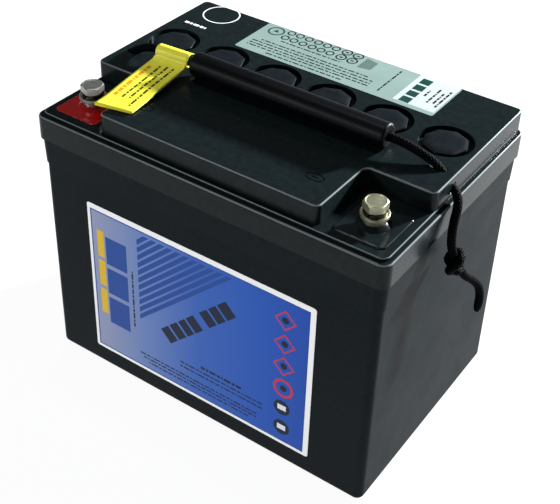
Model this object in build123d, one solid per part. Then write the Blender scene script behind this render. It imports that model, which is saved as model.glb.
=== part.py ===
from build123d import *
import math
import os

os.makedirs("parts", exist_ok=True)

# A sealed lead-acid deep cycle battery with a rope handle.
# Frame, in millimetres: origin under the middle of the case, +X along the length,
# -Y towards the labelled front, +Z up. Left is -X (positive), right is +X (negative).

# ---------------------------------------------------------------- driving dimensions
LENGTH = 195.0  # lid flange, the widest part
WIDTH = 132.0
CASE_LENGTH = 190.8
CASE_WIDTH = 128.2
RIM_Z = 118.0  # a slightly proud, tapered band runs round the case from here up to the seam
SEAM_Z = 132.0  # the lid is welded to the case here
FLANGE_TOP_Z = 144.5
PAD_Z = 146.0  # floor of the terminal pockets
TOP_Z = 156.0  # top of the lid

RIM_PROUD = 0.6
RIM_TAPER = 2.4  # degrees
CASE_CORNER = 4.0
FLANGE_CORNER = 5.0
WALL = 2.8
FLOOR = 3.0
LID_WALL = 3.0

CELLS = 6
PARTITION = 1.8
VENT_PITCH = 31.5
VENT_Y = 17.0

# raised block of the lid and its two terminal pockets
BLOCK_LENGTH = 190.4
BLOCK_FRONT_Y = -61.0
BLOCK_BACK_Y = 65.0
PAD_FRONT_Y = -63.4
POCKET_X = 60.5  # inner side of each pocket
POCKET_Y = -23.0  # back of each pocket

# terminals
TERMINAL_X = 78.5
TERMINAL_Y = -45.0
POST_RADIUS = 4.95
POST_TOP_Z = 150.8
THREAD_RADIUS = 3.05  # plain bore for an M6 screw
THREAD_BOTTOM_Z = 135.0
SHANK_RADIUS = 2.98
HEX_ACROSS_FLATS = 10.0
HEX_HEIGHT = 4.2
FLAT_WASHER_RADIUS = 6.5
FLAT_WASHER_THICKNESS = 1.55
SPRING_WASHER_RADIUS = 5.4
SPRING_WASHER_THICKNESS = 1.55
WASHER_BORE_RADIUS = 3.2
STACK_GAP = 0.05  # between the faces of pieces that turn or lift apart
SEAL_LENGTH = 25.5
SEAL_WIDTH = 27.0
SEAL_CORNER = 2.5
SEAL_BOTTOM_Z = 143.4
SEAL_TOP_Z = 146.6
SEAL_EDGE_RADIUS = 0.6
COLLAR_RADIUS = 7.6  # where the resin creeps up the post
COLLAR_TOP_RADIUS = 5.4
COLLAR_HEIGHT = 1.5
O_RING_SEAT_Z = 141.0
O_RING_SEAT_RADIUS = 7.3
O_RING_SECTION_RADIUS = 1.1
O_RING_RADIUS = 6.15
POST_HOLE_RADIUS = 5.3
POST_BOSS_Z = 138.8
POST_BOSS_LENGTH = 31.0
POST_BOSS_WIDTH = 33.0
POST_BASE_RADIUS = 7.0
POST_BASE_HEIGHT = 2.5
HEX_TURN = 12.0  # degrees

# vents
VENT_RECESS_RADIUS = 13.3
VENT_RECESS_Z = 152.6
VENT_CAP_RADIUS = 11.0
CHAMBER_RADIUS = 8.2
CHAMBER_Z = 143.5
VENT_WALL = 2.4
NOZZLE_RADIUS = 3.4
NOZZLE_BORE_RADIUS = 1.4
NOZZLE_TOP_Z = 148.3
VALVE_RADIUS = 5.2
VALVE_BOTTOM_Z = 143.9
VALVE_TOP_Z = 150.0
SPIGOT_INNER_RADIUS = 6.2
SPIGOT_BOTTOM_Z = 150.5

# cells
PLATE_WIDTH = 118.0
PLATE_BOTTOM_Z = 4.5
PLATE_TOP_Z = 109.0
POSITIVE_PLATES = 4
POSITIVE_THICKNESS = 2.9
NEGATIVE_THICKNESS = 2.0
SEPARATOR_THICKNESS = 0.9
SEPARATOR_WIDTH = 120.0
LUG_WIDTH = 10.0
STRAP_BOTTOM_Z = 113.0
STRAP_TOP_Z = 119.0
STRAP_LENGTH = 25.0
STRAP_WIDTH = 15.0
STRAP_Y = 45.0  # each strap lies this far in front of or behind the middle
STRAP_END_Z = 123.0  # a strap's two ends stand up to meet the welds through the partitions
STRAP_END_LENGTH = 3.5
CONNECTOR_RADIUS = 4.0
CONNECTOR_Z = 118.0

# rope handle
ROPE_DIAMETER = 4.4
ROPE_HOLE_DIAMETER = 5.1
ROPE_AXIS_Y = -5.0
ROPE_AXIS_Z = 162.6
GRIP_LEFT_X = -47.5
GRIP_RIGHT_X = 61.0
GRIP_RADIUS = 6.1
GRIP_BORE_RADIUS = 2.7
CORE_LEFT_X = -68.5  # the straight stretch of rope carries the tag and the grip
KNOT_RADIUS = 5.7
ROPE_BOSS = (83.0, 94.0, -12.0, 2.5)  # solid plastic round each rope hole: x and y, low to high

# tag
TAG_WIDTH = 19.0
TAG_THICKNESS = 0.5
TAG_LEFT_X = -69.5
TAG_LOOP_RADIUS = 3.6
TAG_LOOP_Z = 162.9
TAG_SHIFT = 2.9  # the flap runs slightly to the right as it comes forward
TAG_STATIONS = [(0.0, -8.3, 161.6), (0.0, -10.8, 160.3), (TAG_SHIFT, -54.8, 156.95)]

# labels
LABEL_THICKNESS = 0.15
FRONT_LABEL_LENGTH = 134.0
FRONT_LABEL_HEIGHT = 93.6
FRONT_LABEL_X = -1.9
FRONT_LABEL_Z = 58.2
LID_LABEL_LENGTH = 114.8
LID_LABEL_WIDTH = 31.6
LID_LABEL_X = 5.9
LID_LABEL_Y = 47.9

# shallow polarity marks in the lid
MARK_X = 47.3
MARK_Y = -43.4
MARK_DEPTH = 0.35
MARK_LENGTH = 9.6
MARK_WIDTH = 5.8
MARK_LINE = 0.7

cell_length = (CASE_LENGTH - 2 * WALL - (CELLS - 1) * PARTITION) / CELLS
cell_pitch = cell_length + PARTITION
cell_width = CASE_WIDTH - 2 * WALL

nodes = {}


# ---------------------------------------------------------------- helpers
def slab(length, width, corner, low, high, x=0.0, y=0.0):
    """A plate with rounded upright corners, between two heights."""
    return extrude(Pos(x, y, low) * RectangleRounded(length, width, corner), high - low)


def block(x_low, x_high, y_low, y_high, z_low, z_high):
    """A plain box from its lowest to its highest corner."""
    size = (x_high - x_low, y_high - y_low, z_high - z_low)
    middle = ((x_low + x_high) / 2, (y_low + y_high) / 2, (z_low + z_high) / 2)
    return Pos(*middle) * Box(*size)


def disc(radius, low, high, x=0.0, y=0.0):
    """An upright cylinder between two heights."""
    return Pos(x, y, (low + high) / 2) * Cylinder(radius, high - low)


def ring(outer, inner, low, high, x=0.0, y=0.0):
    """An upright tube between two heights."""
    return disc(outer, low, high, x, y) - disc(inner, low - 1, high + 1, x, y)


def top_edges(shape):
    """The edges of a shape's highest level."""
    return shape.edges().group_by(Axis.Z)[-1]


def cell_x(cell):
    """The middle of a cell, counted from 1 at the left."""
    return (cell - (CELLS + 1) / 2) * cell_pitch


def vent_x(cell):
    """The middle of a cell's vent."""
    return (cell - (CELLS + 1) / 2) * VENT_PITCH


def partition_x(wall):
    """The middle of the partition between a cell and the next."""
    return (wall - CELLS / 2) * cell_pitch


def positive_side(cell):
    """-1 where a cell's positive strap is at the front, and 1 where it is at the back."""
    return -1 if cell % 2 else 1


def connector_side(wall):
    """The side on which a cell's negative strap meets the next cell's positive strap."""
    return positive_side(wall + 1)


# ---------------------------------------------------------------- case
def make_case():
    """The box with its five partitions and the proud band round its rim."""
    body = slab(CASE_LENGTH, CASE_WIDTH, CASE_CORNER, 0, SEAM_Z)
    body = fillet(body.edges().group_by(Axis.Z)[0], CASE_CORNER * 0.6)
    rim_sketch = RectangleRounded(
        CASE_LENGTH + 2 * RIM_PROUD, CASE_WIDTH + 2 * RIM_PROUD, CASE_CORNER + RIM_PROUD
    )
    body += extrude(Pos(0, 0, RIM_Z) * rim_sketch, SEAM_Z - RIM_Z, taper=-RIM_TAPER)
    for cell in range(1, CELLS + 1):
        body -= slab(cell_length, cell_width, 1.5, FLOOR, SEAM_Z + 1, x=cell_x(cell))
    window = Rotation(0, 90, 0) * Cylinder(CONNECTOR_RADIUS, PARTITION + 2)
    for wall in range(1, CELLS):
        place = Pos(partition_x(wall), connector_side(wall) * STRAP_Y, CONNECTOR_Z)
        body -= place * window
    return body


# ---------------------------------------------------------------- lid
def raised_block():
    """The upper block of the lid, with a pocket cut out of each front corner."""
    middle_y = (BLOCK_FRONT_Y + BLOCK_BACK_Y) / 2
    outline = Pos(0, middle_y) * Rectangle(BLOCK_LENGTH, BLOCK_BACK_Y - BLOCK_FRONT_Y)
    for side in (-1, 1):
        outline -= Pos(side * (POCKET_X + 50), POCKET_Y - 50) * Rectangle(100, 100)
    outline = fillet(outline.vertices(), 3.0)
    shape = extrude(Pos(0, 0, PAD_Z) * outline, TOP_Z - PAD_Z)
    return fillet(top_edges(shape), 1.1)


def lid_outside():
    """Flange, pad and raised block as one solid, before it is hollowed."""
    flange = slab(LENGTH, WIDTH, FLANGE_CORNER, SEAM_Z, FLANGE_TOP_Z)
    flange = fillet(top_edges(flange), 1.2)
    pad_y = (PAD_FRONT_Y + BLOCK_BACK_Y) / 2
    pad_width = BLOCK_BACK_Y - PAD_FRONT_Y
    pad = slab(BLOCK_LENGTH, pad_width, 4.0, FLANGE_TOP_Z - 1, PAD_Z, y=pad_y)
    pad = fillet(top_edges(pad), 0.7)
    return flange + pad + raised_block()


def lid_kept():
    """What stays solid inside the lid: ribs, vent cups, post bosses and rope bosses."""
    pad_under = PAD_Z - LID_WALL
    kept = []
    for wall in range(1, CELLS):
        x = partition_x(wall)
        half = PARTITION / 2
        kept.append(block(x - half, x + half, -WIDTH / 2, WIDTH / 2, SEAM_Z, TOP_Z))
    for cell in range(1, CELLS + 1):
        x = vent_x(cell)
        cup_radius = VENT_RECESS_RADIUS + VENT_WALL
        kept.append(disc(cup_radius, VENT_RECESS_Z - VENT_WALL, TOP_Z, x, VENT_Y))
        chamber_radius = CHAMBER_RADIUS + VENT_WALL
        kept.append(disc(chamber_radius, CHAMBER_Z - VENT_WALL, TOP_Z, x, VENT_Y))
    for side in (-1, 1):
        pocket_edge = POCKET_X - LID_WALL
        x_low, x_high = sorted((side * pocket_edge, side * LENGTH / 2))
        kept.append(block(x_low, x_high, -WIDTH / 2, POCKET_Y + LID_WALL, pad_under, TOP_Z))
        boss = slab(
            POST_BOSS_LENGTH,
            POST_BOSS_WIDTH,
            LID_WALL,
            POST_BOSS_Z,
            pad_under + 1,
            x=side * TERMINAL_X,
            y=TERMINAL_Y,
        )
        kept.append(boss)
        near, far, y_low, y_high = ROPE_BOSS
        x_low, x_high = sorted((side * near, side * far))
        kept.append(block(x_low, x_high, y_low, y_high, pad_under, TOP_Z))
    return kept


def polarity_mark(side):
    """A shallow oval groove with a bar, or a cross on the positive side."""
    low, high = TOP_Z - MARK_DEPTH, TOP_Z + 1
    long_radius, short_radius = MARK_LENGTH / 2, MARK_WIDTH / 2
    inner = Ellipse(long_radius - MARK_LINE, short_radius - MARK_LINE)
    groove = extrude(Pos(0, 0, low) * Ellipse(long_radius, short_radius), high - low)
    groove -= extrude(Pos(0, 0, low - 1) * inner, high - low + 2)
    arm = short_radius * 0.6
    half = MARK_LINE / 2
    groove += block(-arm, arm, -half, half, low, high)
    if side < 0:
        groove += block(-half, half, -arm, arm, low, high)
    return Pos(side * MARK_X, MARK_Y, 0) * groove


def make_lid():
    """The lid: one moulding with six vent chambers, two post holes and two rope holes."""
    inside_length = CASE_LENGTH - 2 * WALL
    hollow = slab(inside_length, cell_width, 2, SEAM_Z - 1, TOP_Z - LID_WALL)
    half_length, half_width = LENGTH / 2, WIDTH / 2
    front_wall_y = BLOCK_FRONT_Y + LID_WALL
    hollow -= block(-half_length, half_length, -half_width, front_wall_y, PAD_Z - LID_WALL, TOP_Z)
    for keep in lid_kept():
        hollow -= keep
    lid = lid_outside() - hollow
    for cell in range(1, CELLS + 1):
        x = vent_x(cell)
        lid -= disc(VENT_RECESS_RADIUS, VENT_RECESS_Z, TOP_Z + 1, x, VENT_Y)
        lid -= disc(CHAMBER_RADIUS, CHAMBER_Z, TOP_Z, x, VENT_Y)
        lid += ring(NOZZLE_RADIUS, NOZZLE_BORE_RADIUS, CHAMBER_Z - 0.5, NOZZLE_TOP_Z, x, VENT_Y)
        lid -= disc(NOZZLE_BORE_RADIUS, CHAMBER_Z - 5, CHAMBER_Z + 1, x, VENT_Y)
    for side in (-1, 1):
        x = side * TERMINAL_X
        lid -= slab(
            SEAL_LENGTH, SEAL_WIDTH, SEAL_CORNER, SEAL_BOTTOM_Z, TOP_Z, x=x, y=TERMINAL_Y
        )
        lid -= disc(O_RING_SEAT_RADIUS, O_RING_SEAT_Z, TOP_Z, x, TERMINAL_Y)
        lid -= disc(POST_HOLE_RADIUS, POST_BOSS_Z - 1, TOP_Z, x, TERMINAL_Y)
        lid -= rope_tube(channel_route(side), ROPE_HOLE_DIAMETER)
        lid -= polarity_mark(side)
    return lid


# ---------------------------------------------------------------- vents
def make_vent_cap(cell):
    """A round cover that closes a vent chamber, with a spigot that locates it."""
    x = vent_x(cell)
    cap = disc(VENT_CAP_RADIUS, VENT_RECESS_Z, TOP_Z - 0.1, x, VENT_Y)
    cap = chamfer(top_edges(cap), 0.4)
    spigot_radius = CHAMBER_RADIUS - 0.2
    spigot_top = VENT_RECESS_Z + 0.5
    return cap + ring(spigot_radius, SPIGOT_INNER_RADIUS, SPIGOT_BOTTOM_Z, spigot_top, x, VENT_Y)


def make_relief_valves():
    """Six rubber caps, one on the nozzle of each cell."""
    caps = []
    for cell in range(1, CELLS + 1):
        x = vent_x(cell)
        cap = disc(VALVE_RADIUS, VALVE_BOTTOM_Z, VALVE_TOP_Z, x, VENT_Y)
        cap = fillet(top_edges(cap), 0.8)
        inside = disc(NOZZLE_RADIUS + 0.05, CHAMBER_Z, NOZZLE_TOP_Z + 0.05, x, VENT_Y)
        caps.append(cap - inside)
    return Compound(children=caps)


# ---------------------------------------------------------------- cells
def plate_positions(cell):
    """The x of every plate in a cell, from left to right: negative plates stand at both ends."""
    negative = POSITIVE_PLATES + 1
    step = (POSITIVE_THICKNESS + NEGATIVE_THICKNESS) / 2 + SEPARATOR_THICKNESS
    first = cell_x(cell) - step * (POSITIVE_PLATES + negative - 1) / 2
    return [first + step * index for index in range(POSITIVE_PLATES + negative)]


def plate_group(cell, positive):
    """The plates of one polarity, welded to their strap by a lug each."""
    thickness = POSITIVE_THICKNESS if positive else NEGATIVE_THICKNESS
    side = positive_side(cell) if positive else -positive_side(cell)
    strap_y = side * STRAP_Y
    x = cell_x(cell)
    strap = slab(STRAP_LENGTH, STRAP_WIDTH, 2.0, STRAP_BOTTOM_Z, STRAP_END_Z, x=x, y=strap_y)
    group = strap - strap_recess(x, strap_y)
    for plate_x in plate_positions(cell)[1 if positive else 0 :: 2]:
        group += block(
            plate_x - thickness / 2,
            plate_x + thickness / 2,
            -PLATE_WIDTH / 2,
            PLATE_WIDTH / 2,
            PLATE_BOTTOM_Z,
            PLATE_TOP_Z,
        )
        group += block(
            plate_x - thickness / 2,
            plate_x + thickness / 2,
            strap_y - LUG_WIDTH / 2,
            strap_y + LUG_WIDTH / 2,
            PLATE_TOP_Z - 1,
            STRAP_BOTTOM_Z + 1,
        )
    return group


def strap_recess(x, y):
    """The middle of a strap is lower than the two upright ends that are welded sideways."""
    half = STRAP_LENGTH / 2 - STRAP_END_LENGTH
    return block(x - half, x + half, y - STRAP_WIDTH, y + STRAP_WIDTH, STRAP_TOP_Z, SEAM_Z)


def make_separators(cell):
    """The glass-mat sheets of one cell, one in every gap between two plates."""
    positions = plate_positions(cell)
    sheets = []
    for index in range(len(positions) - 1):
        left_is_negative = index % 2 == 0
        left = NEGATIVE_THICKNESS if left_is_negative else POSITIVE_THICKNESS
        low = positions[index] + left / 2
        high = low + SEPARATOR_THICKNESS
        half_width = SEPARATOR_WIDTH / 2
        sheets.append(block(low, high, -half_width, half_width, FLOOR + 0.5, PLATE_TOP_Z + 1.5))
    return Compound(children=sheets)


def make_connector(wall):
    """The lead weld between two cells, through the partition."""
    length = cell_pitch - STRAP_LENGTH
    place = Pos(partition_x(wall), connector_side(wall) * STRAP_Y, CONNECTOR_Z)
    return place * Rotation(0, 90, 0) * Cylinder(CONNECTOR_RADIUS, length)


# ---------------------------------------------------------------- terminals
def make_post(side):
    """A round post from the end strap up through the lid, bored for the screw."""
    x = side * TERMINAL_X
    post = disc(POST_RADIUS, STRAP_TOP_Z, POST_TOP_Z, x, TERMINAL_Y)
    post = chamfer(top_edges(post), 0.4)
    post += disc(POST_BASE_RADIUS, STRAP_TOP_Z, STRAP_TOP_Z + POST_BASE_HEIGHT, x, TERMINAL_Y)
    return post - disc(THREAD_RADIUS, THREAD_BOTTOM_Z, POST_TOP_Z + 1, x, TERMINAL_Y)


def make_seal(side):
    """Potting resin round the post, with a small collar where it creeps up the post."""
    x = side * TERMINAL_X
    seal = slab(
        SEAL_LENGTH, SEAL_WIDTH, SEAL_CORNER, SEAL_BOTTOM_Z, SEAL_TOP_Z, x=x, y=TERMINAL_Y
    )
    seal = fillet(top_edges(seal), SEAL_EDGE_RADIUS)
    collar = Cone(COLLAR_RADIUS, COLLAR_TOP_RADIUS, COLLAR_HEIGHT)
    seal += Pos(x, TERMINAL_Y, SEAL_TOP_Z + COLLAR_HEIGHT / 2) * collar
    return seal - disc(POST_RADIUS, SEAL_BOTTOM_Z - 1, POST_TOP_Z, x, TERMINAL_Y)


def make_o_rings():
    """One rubber ring round each post, in the seat under the resin."""
    rings = []
    for side in (-1, 1):
        z = O_RING_SEAT_Z + O_RING_SECTION_RADIUS + 0.05
        ring_shape = Torus(O_RING_RADIUS, O_RING_SECTION_RADIUS)
        rings.append(Pos(side * TERMINAL_X, TERMINAL_Y, z) * ring_shape)
    return Compound(children=rings)


flat_washer_z = POST_TOP_Z + STACK_GAP
spring_washer_z = flat_washer_z + FLAT_WASHER_THICKNESS
head_z = spring_washer_z + SPRING_WASHER_THICKNESS + STACK_GAP


def make_flat_washer(side):
    """A plain M6 washer with eased edges."""
    washer = disc(
        FLAT_WASHER_RADIUS, flat_washer_z, spring_washer_z, side * TERMINAL_X, TERMINAL_Y
    )
    washer = chamfer(washer.edges(), 0.15)
    bore = disc(WASHER_BORE_RADIUS, flat_washer_z - 1, head_z, side * TERMINAL_X, TERMINAL_Y)
    return washer - bore


def make_spring_washer(side):
    """A split washer: the slit is cut at a slant."""
    x = side * TERMINAL_X
    top_z = spring_washer_z + SPRING_WASHER_THICKNESS
    washer = ring(SPRING_WASHER_RADIUS, WASHER_BORE_RADIUS, spring_washer_z, top_z, x, TERMINAL_Y)
    slit = Pos(x, TERMINAL_Y - 4.5, (spring_washer_z + top_z) / 2) * Rotation(0, 35, 0)
    return washer - slit * Box(0.8, 5.0, 6.0)


def make_bolt(side):
    """A hex head screw whose head corners are turned down to a cone."""
    x = side * TERMINAL_X
    hexagon = RegularPolygon(HEX_ACROSS_FLATS / 2, 6, major_radius=False)
    head = extrude(Pos(x, TERMINAL_Y, head_z) * Rotation(0, 0, HEX_TURN) * hexagon, HEX_HEIGHT)
    turned = disc(HEX_ACROSS_FLATS / 2 / math.cos(math.pi / 6), head_z, head_z + HEX_HEIGHT)
    turned = chamfer(top_edges(turned), 0.5, 0.8)
    head = head & (Pos(x, TERMINAL_Y, 0) * turned)
    shank = disc(SHANK_RADIUS, THREAD_BOTTOM_Z + 2, head_z + 0.5, x, TERMINAL_Y)
    shank = chamfer(shank.edges().group_by(Axis.Z)[0], 0.8)
    return head + shank


# ---------------------------------------------------------------- rope handle
# One rope, in stretches: a straight core through the tag and the grip, and at each end a span
# down into the lid and out through its end wall, a drop to the knot, and the knot's loose tail.
# A stretch begins in line with the last run of the one before it.
SPAN_RIGHT = [
    (GRIP_RIGHT_X, ROPE_AXIS_Y, ROPE_AXIS_Z),
    (66.0, ROPE_AXIS_Y, ROPE_AXIS_Z),
    (74.5, -4.5, 161.0),
    (82.5, -4.4, 158.6),
    (87.8, -4.5, 155.8),
    (91.2, -4.8, 151.9),
    (95.4, -6.2, 149.7),
]
SPAN_LEFT = [
    (CORE_LEFT_X, ROPE_AXIS_Y, ROPE_AXIS_Z),
    (-73.6, ROPE_AXIS_Y, ROPE_AXIS_Z),
    (-78.6, -5.2, 161.3),
    (-83.4, -4.9, 158.9),
    (-87.8, -4.5, 155.8),
    (-91.2, -4.8, 151.9),
    (-95.4, -6.2, 149.7),
]
DROP_RIGHT = [
    (95.4, -6.2, 149.7),
    (98.2, -7.133, 148.233),
    (100.6, -10.6, 144.8),
    (101.0, -14.1, 138.2),
    (101.9, -15.9, 130.4),
    (102.8, -15.4, 124.6),
    (103.8, -13.8, 119.6),
]
DROP_LEFT = [
    (-95.4, -6.2, 149.7),
    (-98.2, -7.133, 148.233),
    (-100.5, -9.9, 144.4),
    (-100.8, -11.4, 137.6),
    (-101.6, -11.0, 130.0),
    (-102.6, -9.8, 124.4),
    (-103.4, -9.6, 118.8),
]
TAIL_RIGHT = [
    (105.2, -10.6, 113.8),
    (106.8, -7.6, 107.8),
    (108.6, -2.6, 103.4),
    (110.6, 1.8, 98.6),
    (111.6, 4.0, 92.6),
    (112.0, 3.9, 87.0),
    (111.7, 3.0, 81.4),
]
TAIL_LEFT = [
    (-104.2, -9.9, 112.9),
    (-105.4, -11.0, 107.8),
    (-107.6, -14.2, 103.6),
    (-109.4, -18.4, 99.2),
    (-110.2, -21.6, 93.6),
    (-109.8, -22.6, 88.0),
    (-108.9, -22.2, 82.6),
]
KNOT_RIGHT = (104.1, -13.2, 117.6)
KNOT_LEFT = (-103.6, -9.6, 117.4)


def channel_route(side):
    """The stretch of the rope's route through the lid, a little longer at both ends."""
    span = SPAN_RIGHT if side > 0 else SPAN_LEFT
    drop = DROP_RIGHT if side > 0 else DROP_LEFT
    return span[2:6] + drop[1:3]


def corner_radii(points):
    """The largest arc that each corner of a route allows: 0.45 of its shorter run."""
    vectors = [Vector(*point) for point in points]
    radii = []
    for before, corner, after in zip(vectors, vectors[1:], vectors[2:]):
        shorter = min((corner - before).length, (after - corner).length)
        turn = (corner - before).get_angle(after - corner)
        radii.append(0.45 * shorter / math.tan(math.radians(turn) / 2))
    return radii


def rope_tube(points, diameter):
    """A round tube along straight runs joined by tangent arcs."""
    path = FilletPolyline(*points, radius=corner_radii(points))
    section = Plane(origin=path @ 0, z_dir=path % 0) * Circle(diameter / 2)
    return sweep(section, path=path)


def make_rope(name, points):
    """One stretch of the rope: prints its length, volume and arc radii."""
    path = FilletPolyline(*points, radius=corner_radii(points))
    tube = rope_tube(points, ROPE_DIAMETER)
    expected = path.length * math.pi * ROPE_DIAMETER**2 / 4
    radii = ", ".join(f"{radius:.0f}" for radius in corner_radii(points))
    print(f"{name}: length {path.length:.1f}, volume {tube.volume / expected:.4f} of expected")
    print(f"    radii {radii}")
    return tube


def along_x(radius, x_low, x_high, y, z):
    """A cylinder that lies along X."""
    place = Pos((x_low + x_high) / 2, y, z) * Rotation(0, 90, 0)
    return place * Cylinder(radius, x_high - x_low)


def make_grip():
    """The plastic tube on the rope, with rounded ends."""
    tube = along_x(GRIP_RADIUS, GRIP_LEFT_X, GRIP_RIGHT_X, ROPE_AXIS_Y, ROPE_AXIS_Z)
    tube = fillet(tube.edges().filter_by(GeomType.CIRCLE), 1.3)
    bore = along_x(GRIP_BORE_RADIUS, GRIP_LEFT_X - 1, GRIP_RIGHT_X + 1, ROPE_AXIS_Y, ROPE_AXIS_Z)
    return tube - bore


def make_tag():
    """A strip folded over the rope and stuck to itself: a loop, and a flap that lies forward."""
    right_x = TAG_LEFT_X + TAG_WIDTH
    outer = along_x(TAG_LOOP_RADIUS, TAG_LEFT_X, right_x, ROPE_AXIS_Y, TAG_LOOP_Z)
    inner_radius = TAG_LOOP_RADIUS - TAG_THICKNESS
    inner = along_x(inner_radius, TAG_LEFT_X - 1, right_x + 1, ROPE_AXIS_Y, TAG_LOOP_Z)
    tag = outer - inner
    for start, end in zip(TAG_STATIONS, TAG_STATIONS[1:]):
        faces = []
        for offset, y, z in (start, end):
            middle = (TAG_LEFT_X + right_x) / 2 + offset
            section = Plane(origin=(middle, y, z), x_dir=(1, 0, 0), z_dir=(0, -1, 0))
            faces.append(section * Rectangle(TAG_WIDTH, TAG_THICKNESS))
        tag += loft(faces)
    return tag


# ---------------------------------------------------------------- labels
def make_front_label():
    """A printed film on the front wall."""
    outline = RectangleRounded(FRONT_LABEL_LENGTH, FRONT_LABEL_HEIGHT, 1.5)
    place = Pos(FRONT_LABEL_X, -CASE_WIDTH / 2, FRONT_LABEL_Z) * Rotation(90, 0, 0)
    return place * extrude(outline, LABEL_THICKNESS)


def make_lid_label():
    """A printed film on the lid, behind the vents."""
    outline = RectangleRounded(LID_LABEL_LENGTH, LID_LABEL_WIDTH, 1.0)
    return Pos(LID_LABEL_X, LID_LABEL_Y, TOP_Z) * extrude(outline, LABEL_THICKNESS)


# ---------------------------------------------------------------- all the parts
nodes["case"] = make_case()
nodes["lid"] = make_lid()
for cell in range(1, CELLS + 1):
    nodes[f"vent_cap_{cell}"] = make_vent_cap(cell)
    nodes[f"positive_plates_{cell}"] = plate_group(cell, positive=True)
    nodes[f"negative_plates_{cell}"] = plate_group(cell, positive=False)
    nodes[f"separators_{cell}"] = make_separators(cell)
for wall in range(1, CELLS):
    nodes[f"cell_connector_{wall}"] = make_connector(wall)
nodes["relief_valves"] = make_relief_valves()
nodes["post_o_rings"] = make_o_rings()
for side, polarity in ((-1, "positive"), (1, "negative")):
    nodes[f"{polarity}_post"] = make_post(side)
    nodes[f"{polarity}_seal"] = make_seal(side)
    nodes[f"{polarity}_flat_washer"] = make_flat_washer(side)
    nodes[f"{polarity}_spring_washer"] = make_spring_washer(side)
    nodes[f"{polarity}_bolt"] = make_bolt(side)
nodes["grip"] = make_grip()
nodes["rope_core"] = along_x(
    ROPE_DIAMETER / 2, CORE_LEFT_X, GRIP_RIGHT_X, ROPE_AXIS_Y, ROPE_AXIS_Z
)
nodes["rope_span_right"] = make_rope("rope_span_right", SPAN_RIGHT)
nodes["rope_span_left"] = make_rope("rope_span_left", SPAN_LEFT)
nodes["rope_drop_right"] = make_rope("rope_drop_right", DROP_RIGHT)
nodes["rope_drop_left"] = make_rope("rope_drop_left", DROP_LEFT)
nodes["rope_tail_right"] = make_rope("rope_tail_right", TAIL_RIGHT)
nodes["rope_tail_left"] = make_rope("rope_tail_left", TAIL_LEFT)
nodes["rope_knot_right"] = Pos(*KNOT_RIGHT) * Sphere(KNOT_RADIUS)
nodes["rope_knot_left"] = Pos(*KNOT_LEFT) * Sphere(KNOT_RADIUS)
nodes["tag"] = make_tag()
nodes["front_label"] = make_front_label()
nodes["lid_label"] = make_lid_label()

for name, shape in nodes.items():
    shape.label = name
    export_step(shape, f"parts/{name}.step")
print(len(nodes), "nodes")
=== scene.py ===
import bmesh
import bpy
import math
from itertools import accumulate
from mathutils import Matrix, Vector


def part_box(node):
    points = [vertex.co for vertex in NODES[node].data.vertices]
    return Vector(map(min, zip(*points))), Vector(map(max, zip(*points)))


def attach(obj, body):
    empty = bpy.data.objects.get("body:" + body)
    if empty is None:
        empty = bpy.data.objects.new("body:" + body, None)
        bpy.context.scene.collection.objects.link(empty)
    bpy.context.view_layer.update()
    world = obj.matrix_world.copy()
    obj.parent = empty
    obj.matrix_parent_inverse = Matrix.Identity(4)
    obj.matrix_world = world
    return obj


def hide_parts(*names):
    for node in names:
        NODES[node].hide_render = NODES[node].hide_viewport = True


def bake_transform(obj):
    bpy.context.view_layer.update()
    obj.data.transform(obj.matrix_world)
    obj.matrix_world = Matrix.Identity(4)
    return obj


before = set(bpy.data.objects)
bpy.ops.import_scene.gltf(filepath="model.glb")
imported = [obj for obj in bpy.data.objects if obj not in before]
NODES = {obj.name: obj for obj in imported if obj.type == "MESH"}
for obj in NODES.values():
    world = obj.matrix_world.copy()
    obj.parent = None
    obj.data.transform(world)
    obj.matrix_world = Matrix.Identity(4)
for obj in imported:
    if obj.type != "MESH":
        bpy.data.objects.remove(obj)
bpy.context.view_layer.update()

# Everything is placed in the CAD frame: +X along the case, -Y towards the printed front, +Z up.
# Sizes and places are given in millimetres, and mm() and MM turn them into Blender's metres.
MM = 0.001


def mm(*values):
    return Vector(values) * MM


def srgb(red, green, blue):
    """A linear colour from display values of 0 to 255."""
    def linear(value):
        value = value / 255
        return value / 12.92 if value <= 0.04045 else ((value + 0.055) / 1.055) ** 2.4
    return (linear(red), linear(green), linear(blue), 1.0)


# ------------------------------------------------------------------ camera
# The place and directions are those of the camera that was fitted to the photograph.
CAMERA_PLACE = mm(252.4, -381.5, 425.5)
CAMERA_RIGHT = Vector((0.82597, 0.56246, 0.03759))
CAMERA_UP = Vector((-0.34455, 0.45095, 0.82336))
CAMERA_FORWARD = Vector((-0.44615, 0.69303, -0.56627))

camera_data = bpy.data.cameras.new("camera")
camera_data.lens = 71.95
camera_data.sensor_width = 36.0
camera_data.shift_x = -0.0179
camera_data.shift_y = -0.1286
camera_data.clip_start = 0.01
camera_data.clip_end = 20.0
camera = bpy.data.objects.new("camera", camera_data)
bpy.context.scene.collection.objects.link(camera)
turn = Matrix((CAMERA_RIGHT, CAMERA_UP, -CAMERA_FORWARD)).transposed().to_4x4()
camera.matrix_world = Matrix.Translation(CAMERA_PLACE) @ turn
bpy.context.scene.camera = camera
bpy.context.scene.view_settings.view_transform = "Standard"


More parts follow.
